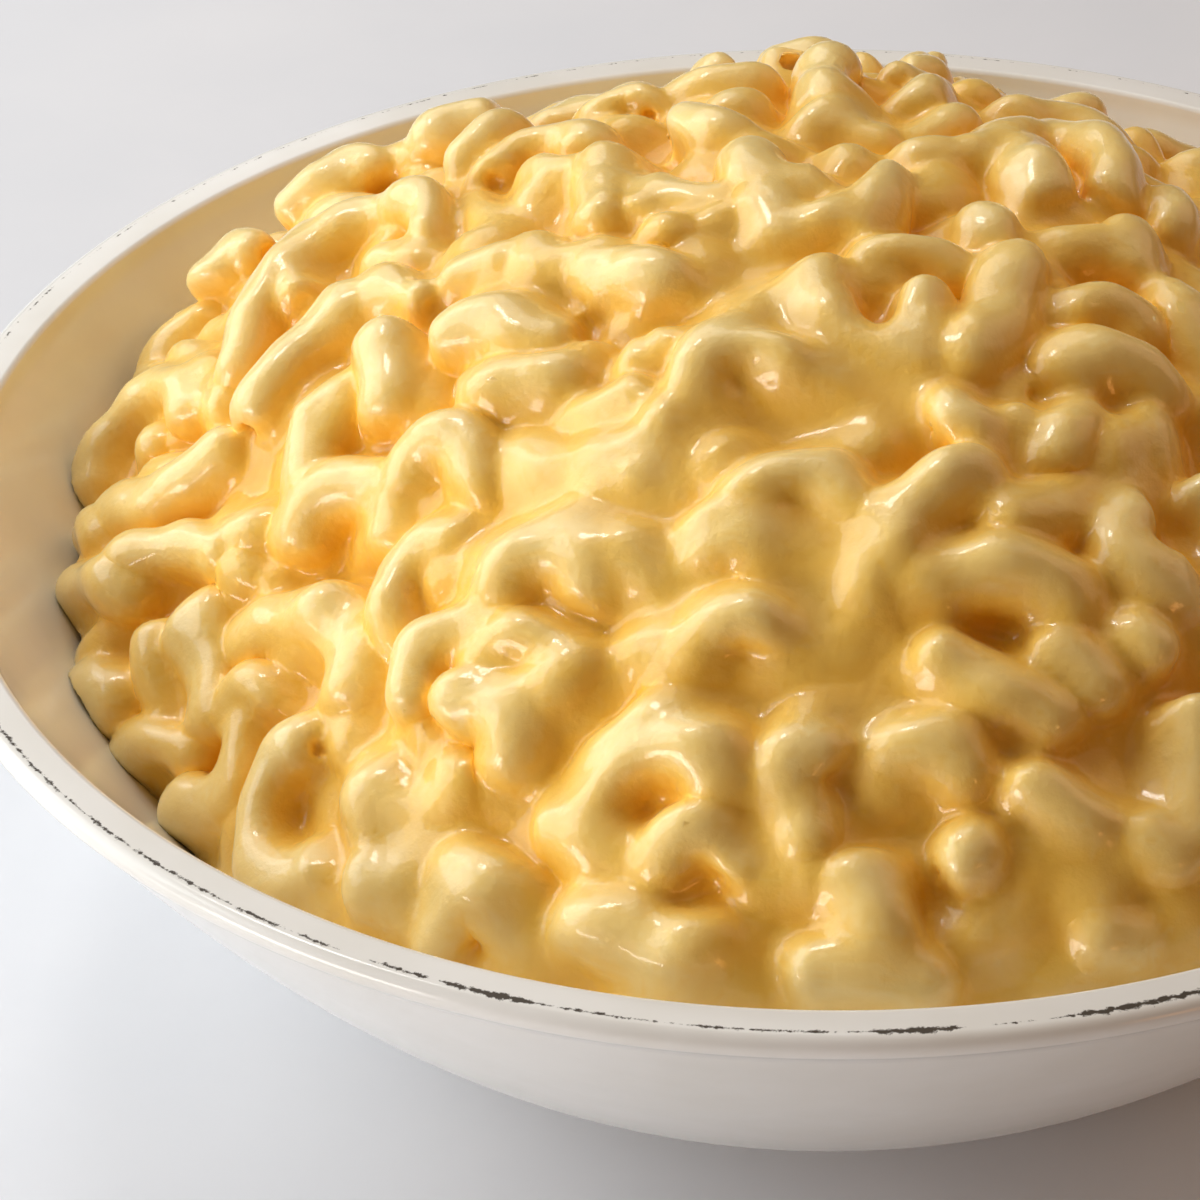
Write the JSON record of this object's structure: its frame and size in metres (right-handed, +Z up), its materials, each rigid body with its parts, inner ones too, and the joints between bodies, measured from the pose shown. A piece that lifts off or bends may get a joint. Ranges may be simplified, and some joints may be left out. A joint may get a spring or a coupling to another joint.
{
  "type": "bowl of macaroni and cheese",
  "caption": "Wide white glazed bowl heaped with elbow macaroni in smooth yellow cheese sauce, for setting on a table or counter.",
  "frame": {"origin": "on the table, under the middle of the bowl's foot ring", "axes": "+Z up out of the bowl, -Y towards the side seen in front, +X to its right"},
  "size_m": [0.2372, 0.2372, 0.1081],
  "materials": {
    "white_glaze": "smooth glossy white glaze, with a thin dark line worn along the rim",
    "macaroni_and_cheese": "wet, glossy, pale yellow cheese sauce over cooked pasta"
  },
  "bodies": {
    "root": {"bowl": "white_glaze", "macaroni_heap": "macaroni_and_cheese"}
  },
  "joints": []
}
